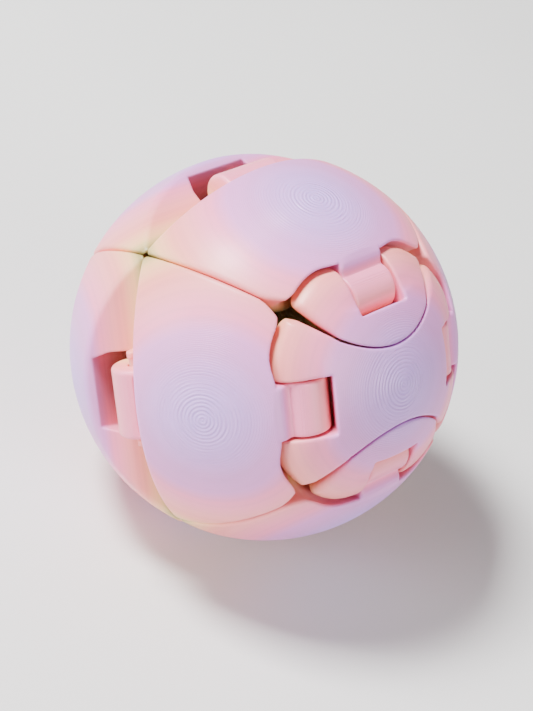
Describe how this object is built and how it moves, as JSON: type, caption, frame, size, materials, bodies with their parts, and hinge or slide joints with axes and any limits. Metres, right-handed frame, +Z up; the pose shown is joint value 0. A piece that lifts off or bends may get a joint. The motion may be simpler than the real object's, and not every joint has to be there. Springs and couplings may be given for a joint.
{
  "type": "folding puzzle ball",
  "caption": "Print-in-place folding ball: domed panels hinged together that close into a sphere or open into a flat cross.",
  "frame": {"origin": "centre of the small flat land that the closed ball stands on, at the crown of rear_petal_bottom", "axes": "+Z up through the crown of front_petal_top, +X towards the equator hinge of the right arm, and the pole of the front cap leans to -Y, 30 degrees above level"},
  "size_m": [0.0926, 0.093, 0.0937],
  "materials": {
    "panel": "satin pastel gradient filament: green, cream, pink, lilac and periwinkle in turn up each panel's printed height, with fine layer lines",
    "pin": "pink satin filament"
  },
  "bodies": {
    "rear_petal_bottom": {"rear_petal_bottom": "panel", "equator_pin_bottom": "pin"},
    "rear_cap": {"rear_cap": "panel", "rear_cap_pin_left": "pin", "rear_cap_pin_top": "pin", "rear_cap_pin_right": "pin", "rear_cap_pin_bottom": "pin"},
    "rear_petal_left": {"rear_petal_left": "panel", "equator_pin_left": "pin"},
    "rear_petal_top": {"rear_petal_top": "panel", "equator_pin_top": "pin"},
    "rear_petal_right": {"rear_petal_right": "panel", "equator_pin_right": "pin"},
    "front_petal_left": {"front_petal_left": "panel"},
    "front_petal_top": {"front_petal_top": "panel"},
    "front_petal_right": {"front_petal_right": "panel", "catch_pin": "pin"},
    "front_petal_bottom": {"front_petal_bottom": "panel"},
    "flap_top": {"flap_top": "panel", "flap_pin_top": "pin"},
    "flap_bottom": {"flap_bottom": "panel", "flap_pin_bottom": "pin"},
    "bridge_flap": {"bridge_flap": "panel", "flap_pin_left": "pin"}
  },
  "joints": [
    {"name": "fold", "type": "hinge", "parent": "rear_petal_bottom", "child": "rear_cap", "pos_m": [0, 0.02008, 0.01206], "axis": [-1, 0, 0], "range_deg": [0, 60]},
    {"name": "rear_hinge_left", "type": "hinge", "parent": "rear_cap", "child": "rear_petal_left", "pos_m": [-0.02008, 0.03012, 0.02945], "axis": [0, -0.5, -0.866], "range_deg": [0, 60]},
    {"name": "rear_hinge_top", "type": "hinge", "parent": "rear_cap", "child": "rear_petal_top", "pos_m": [0, 0.04016, 0.04684], "axis": [-1, 0, 0], "range_deg": [0, 60]},
    {"name": "rear_hinge_right", "type": "hinge", "parent": "rear_cap", "child": "rear_petal_right", "pos_m": [0.02008, 0.03012, 0.02945], "axis": [0, 0.5, 0.866], "range_deg": [0, 60]},
    {"name": "equator_hinge_left", "type": "hinge", "parent": "rear_petal_left", "child": "front_petal_left", "pos_m": [-0.04016, 0, 0.04684], "axis": [0, -0.5, -0.866], "range_deg": [0, 60]},
    {"name": "equator_hinge_top", "type": "hinge", "parent": "rear_petal_top", "child": "front_petal_top", "pos_m": [0, 0.02008, 0.08162], "axis": [-1, 0, 0], "range_deg": [0, 60]},
    {"name": "equator_hinge_right", "type": "hinge", "parent": "rear_petal_right", "child": "front_petal_right", "pos_m": [0.04016, 0, 0.04684], "axis": [0, 0.5, 0.866], "range_deg": [0, 60]},
    {"name": "equator_hinge_bottom", "type": "hinge", "parent": "rear_petal_bottom", "child": "front_petal_bottom", "pos_m": [0, -0.02008, 0.01206], "axis": [1, 0, 0], "range_deg": [0, 60]},
    {"name": "flap_hinge_top", "type": "hinge", "parent": "front_petal_top", "child": "flap_top", "pos_m": [0, -0.02008, 0.08162], "axis": [-1, 0, 0], "range_deg": [0, 40]},
    {"name": "flap_hinge_bottom", "type": "hinge", "parent": "front_petal_bottom", "child": "flap_bottom", "pos_m": [0, -0.04016, 0.04684], "axis": [1, 0, 0], "range_deg": [0, 40]},
    {"name": "bridge_hinge", "type": "hinge", "parent": "front_petal_left", "child": "bridge_flap", "pos_m": [-0.02008, -0.03012, 0.06423], "axis": [0, -0.5, -0.866], "range_deg": [0, 60]}
  ],
  "couplings": [
    {"joint": "rear_hinge_left", "follows": "fold", "ratio": 1},
    {"joint": "rear_hinge_top", "follows": "fold", "ratio": 1},
    {"joint": "rear_hinge_right", "follows": "fold", "ratio": 1},
    {"joint": "equator_hinge_left", "follows": "fold", "ratio": 1},
    {"joint": "equator_hinge_top", "follows": "fold", "ratio": 1},
    {"joint": "equator_hinge_right", "follows": "fold", "ratio": 1},
    {"joint": "equator_hinge_bottom", "follows": "fold", "ratio": 1}
  ]
}
